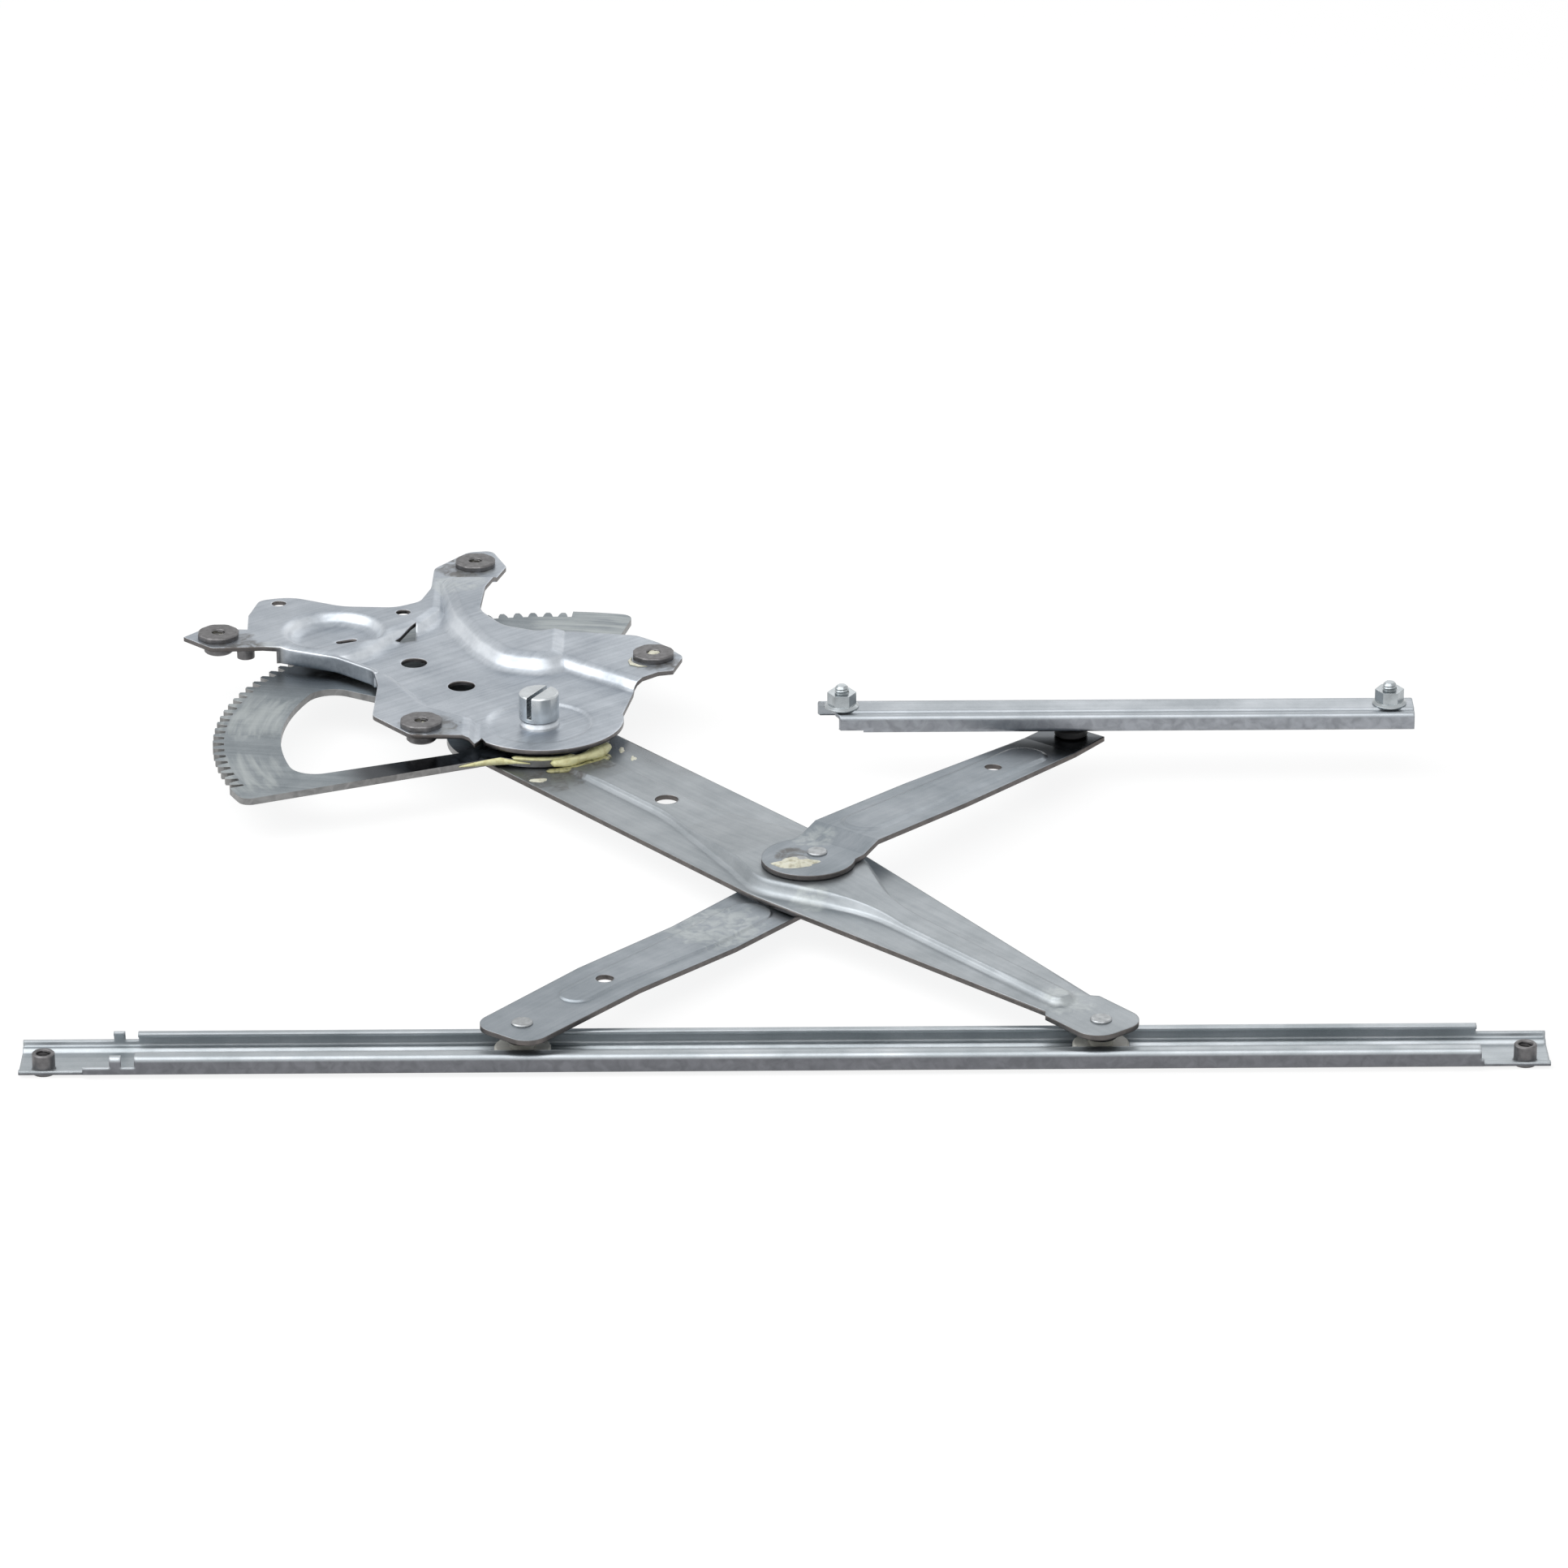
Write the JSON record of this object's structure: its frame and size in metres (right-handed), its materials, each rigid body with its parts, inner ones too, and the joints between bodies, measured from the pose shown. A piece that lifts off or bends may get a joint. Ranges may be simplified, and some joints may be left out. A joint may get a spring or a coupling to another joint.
{
  "type": "window regulator",
  "caption": "Scissor-arm car window regulator: pressed base plate, toothed sector and lift arm, jointed equalizer arm, glass rail, guide rail and nylon rollers.",
  "frame": {"origin": "on the main pivot's axis, where the slotted post's head starts just above the base plate's collar", "axes": "+X along both rails, +Y from the glass rail to the base plate, +Z along the pivots, away from the glass"},
  "size_m": [0.56, 0.4562, 0.0398],
  "materials": {
    "plate_steel": "matte galvanised sheet",
    "arm_steel": "matte galvanised sheet, lightly greased",
    "rail_steel": "matte galvanised sheet",
    "bright_zinc": "bright zinc plating",
    "dark_nut_steel": "dull dark plating",
    "bush_metal": "greased sintered bronze",
    "nylon": "semi-gloss",
    "black_plastic": "satin"
  },
  "bodies": {
    "base": {"base_plate": "plate_steel", "pivot_bush": "bush_metal", "weld_nut_left": "dark_nut_steel", "weld_nut_back": "dark_nut_steel", "weld_nut_front": "dark_nut_steel", "weld_nut_right": "dark_nut_steel", "motor_nut": "dark_nut_steel", "guide_rail": "rail_steel", "guide_stud_left": "bright_zinc", "guide_stud_right": "bright_zinc", "guide_nut_left": "bright_zinc", "guide_nut_right": "bright_zinc"},
    "lift": {"lift_arm": "arm_steel", "sector_gear": "arm_steel", "sector_rivets": "bright_zinc", "spring_post": "bright_zinc", "lift_pin": "bright_zinc", "lift_ring": "black_plastic"},
    "equalizer": {"equalizer_lower": "arm_steel", "equalizer_upper": "arm_steel", "scissor_hub": "bright_zinc", "lower_pin": "bright_zinc", "lower_ring": "black_plastic", "upper_pin": "bright_zinc", "upper_ring": "black_plastic"},
    "glass_carrier": {"glass_rail": "rail_steel", "glass_nut_left": "dark_nut_steel", "glass_nut_right": "dark_nut_steel"},
    "lift_wheel": {"lift_roller": "nylon"},
    "lower_wheel": {"lower_roller": "nylon"},
    "upper_wheel": {"upper_roller": "nylon"}
  },
  "joints": [
    {"name": "lift", "type": "hinge", "parent": "base", "child": "lift", "pos_m": [0, 0, 0], "axis": [0, 0, 1], "range_deg": [-16, 33]},
    {"name": "equalizer", "type": "hinge", "parent": "lift", "child": "equalizer", "pos_m": [0.10594, -0.1327, 0], "axis": [0, 0, 1], "range_deg": [-66, 32]},
    {"name": "glass_rail_level", "type": "hinge", "parent": "equalizer", "child": "glass_carrier", "pos_m": [0, -0.2654, 0], "axis": [0, 0, 1], "range_deg": [-16, 33]},
    {"name": "lift_wheel", "type": "hinge", "parent": "lift", "child": "lift_wheel", "pos_m": [0.21187, -0.2654, 0], "axis": [0, 0, 1], "continuous": true},
    {"name": "lower_wheel", "type": "hinge", "parent": "equalizer", "child": "lower_wheel", "pos_m": [0, -0.2654, 0], "axis": [0, 0, 1], "continuous": true},
    {"name": "upper_wheel", "type": "hinge", "parent": "equalizer", "child": "upper_wheel", "pos_m": [0.21187, 0, 0], "axis": [0, 0, 1], "continuous": true}
  ],
  "couplings": [
    {"joint": "equalizer", "follows": "lift", "ratio": -2},
    {"joint": "glass_rail_level", "follows": "lift", "ratio": 1}
  ]
}
